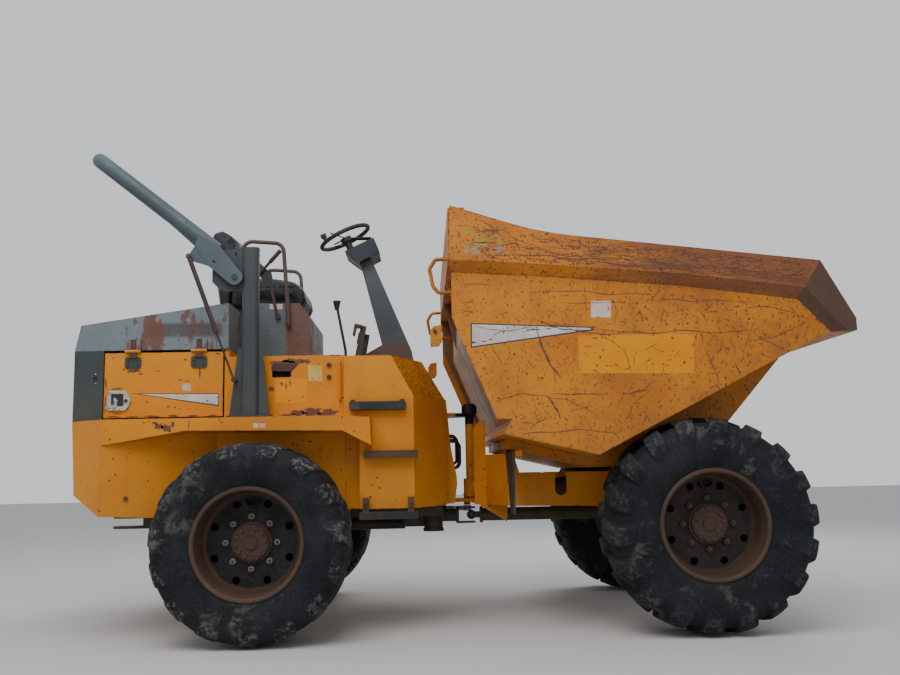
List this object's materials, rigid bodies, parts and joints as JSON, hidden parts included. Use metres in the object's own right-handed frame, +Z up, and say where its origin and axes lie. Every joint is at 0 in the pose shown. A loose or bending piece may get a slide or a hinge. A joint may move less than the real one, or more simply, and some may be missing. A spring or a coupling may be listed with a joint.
{
  "type": "site dumper",
  "caption": "Articulated site dumper: tipping skip in front over big lugged tyres, open operator's seat and folding roll frame behind.",
  "frame": {"origin": "on the ground, on the centre line, under the middle of the overall length", "axes": "+X forward towards the skip's lip, +Y to the machine's left, +Z up"},
  "size_m": [4.366, 2.43, 2.8425],
  "materials": {
    "orange_paint": "satin",
    "grey_paint": "satin",
    "dark_steel": "worn",
    "rusty_steel": "rusty",
    "rod_steel": "polished",
    "tyre": "muddy",
    "rubber": "matt",
    "seat_vinyl": "worn",
    "black_plastic": "matt",
    "cooler_core": "dull"
  },
  "bodies": {
    "rear_frame": {"rear_chassis": "dark_steel", "rear_body": "orange_paint", "rear_axle": "rusty_steel", "cooler_housing": "grey_paint", "radiator": "cooler_core", "engine_block": "dark_steel", "tank_housing": "orange_paint", "hood": "grey_paint", "seat_box": "grey_paint", "seat_cushion": "seat_vinyl", "seat_back": "seat_vinyl", "operator_body": "orange_paint", "steps": "rusty_steel", "centre_bracket": "dark_steel", "gearbox": "dark_steel", "rops_posts": "grey_paint", "controls": "dark_steel", "grab_hoops": "dark_steel", "steering_column": "grey_paint", "steering_wheel": "black_plastic", "hoses": "rubber", "tow_hitch": "dark_steel"},
    "pivot_head": {"pivot_head": "dark_steel"},
    "front_frame": {"front_chassis": "orange_paint", "front_axle": "rusty_steel", "front_shaft": "dark_steel", "rubber_parts": "rubber"},
    "skip": {"skip_shell": "orange_paint", "skip_rim": "orange_paint"},
    "tip_barrel": {"tip_ram_barrel": "dark_steel"},
    "tip_rod": {"tip_ram_rod": "rod_steel"},
    "steer_barrel": {"steer_ram_barrel": "dark_steel"},
    "steer_rod": {"steer_ram_rod": "rod_steel"},
    "hoop": {"rops_hoop": "grey_paint"},
    "strut_tubes": {"rops_strut_tubes": "rusty_steel"},
    "strut_rods": {"rops_strut_rods": "rod_steel"},
    "door_left": {"engine_door_left": "orange_paint"},
    "door_right": {"engine_door_right": "orange_paint"},
    "wheel_front_left": {"rim_front_left": "rusty_steel", "tyre_front_left": "tyre"},
    "wheel_front_right": {"rim_front_right": "rusty_steel", "tyre_front_right": "tyre"},
    "wheel_rear_left": {"rim_rear_left": "rusty_steel", "tyre_rear_left": "tyre"},
    "wheel_rear_right": {"rim_rear_right": "rusty_steel", "tyre_rear_right": "tyre"}
  },
  "joints": [
    {"name": "steer", "type": "hinge", "parent": "rear_frame", "child": "pivot_head", "pos_m": [0.109, 0, 0.78], "axis": [0, 0, 1], "range_deg": [-25, 25]},
    {"name": "roll", "type": "hinge", "parent": "pivot_head", "child": "front_frame", "pos_m": [0.109, 0, 0.78], "axis": [1, 0, 0], "range_deg": [-8, 8]},
    {"name": "tip", "type": "hinge", "parent": "front_frame", "child": "skip", "pos_m": [1.73, 0, 0.79], "axis": [0, 1, 0], "range_deg": [0, 58]},
    {"name": "tip_barrel_swing", "type": "hinge", "parent": "front_frame", "child": "tip_barrel", "pos_m": [0.363, 0, 0.72], "axis": [0, -1, 0], "range_deg": [0, 21.97]},
    {"name": "tip_rod_slide", "type": "slide", "parent": "tip_barrel", "child": "tip_rod", "axis": [0.9867, 0, 0.1624], "range_m": [0, 0.5183]},
    {"name": "steer_barrel_swing", "type": "hinge", "parent": "rear_frame", "child": "steer_barrel", "pos_m": [-0.335, 0.235, 0.64], "axis": [0, 0, 1], "range_deg": [-2, 2]},
    {"name": "steer_rod_slide", "type": "slide", "parent": "steer_barrel", "child": "steer_rod", "axis": [1, 0, 0], "range_m": [-0.0993, 0.0993]},
    {"name": "hoop_raise", "type": "hinge", "parent": "rear_frame", "child": "hoop", "pos_m": [-1.255, 0, 2.005], "axis": [0, 1, 0], "range_deg": [0, 51.5]},
    {"name": "strut_swing", "type": "hinge", "parent": "hoop", "child": "strut_tubes", "pos_m": [-1.50958, 0, 2.12189], "axis": [0, -1, 0], "range_deg": [0, 36.11]},
    {"name": "strut_slide", "type": "slide", "parent": "strut_tubes", "child": "strut_rods", "axis": [0.347, 0, -0.9378], "range_m": [0, 0.1119]},
    {"name": "door_left_open", "type": "hinge", "parent": "rear_frame", "child": "door_left", "pos_m": [-1.657, 0.809, 1.6], "axis": [1, 0, 0], "range_deg": [0, 70]},
    {"name": "door_right_open", "type": "hinge", "parent": "rear_frame", "child": "door_right", "pos_m": [-1.657, -0.809, 1.6], "axis": [-1, 0, 0], "range_deg": [0, 70]},
    {"name": "wheel_front_left_spin", "type": "hinge", "parent": "front_frame", "child": "wheel_front_left", "pos_m": [1.338, 0.9875, 0.577], "axis": [0, 1, 0], "continuous": true},
    {"name": "wheel_front_right_spin", "type": "hinge", "parent": "front_frame", "child": "wheel_front_right", "pos_m": [1.338, -0.9875, 0.577], "axis": [0, 1, 0], "continuous": true},
    {"name": "wheel_rear_left_spin", "type": "hinge", "parent": "rear_frame", "child": "wheel_rear_left", "pos_m": [-1.12, 0.9875, 0.532], "axis": [0, 1, 0], "continuous": true},
    {"name": "wheel_rear_right_spin", "type": "hinge", "parent": "rear_frame", "child": "wheel_rear_right", "pos_m": [-1.12, -0.9875, 0.532], "axis": [0, 1, 0], "continuous": true}
  ],
  "couplings": [
    {"joint": "tip_barrel_swing", "follows": "tip", "ratio": 0.37866},
    {"joint": "tip_rod_slide", "follows": "tip", "m_per_rad": 0.51153},
    {"joint": "steer_barrel_swing", "follows": "steer", "ratio": -0.064},
    {"joint": "steer_rod_slide", "follows": "steer", "m_per_rad": -0.22649},
    {"joint": "strut_swing", "follows": "hoop_raise", "ratio": 0.70097},
    {"joint": "strut_slide", "follows": "hoop_raise", "m_per_rad": 0.12398}
  ]
}
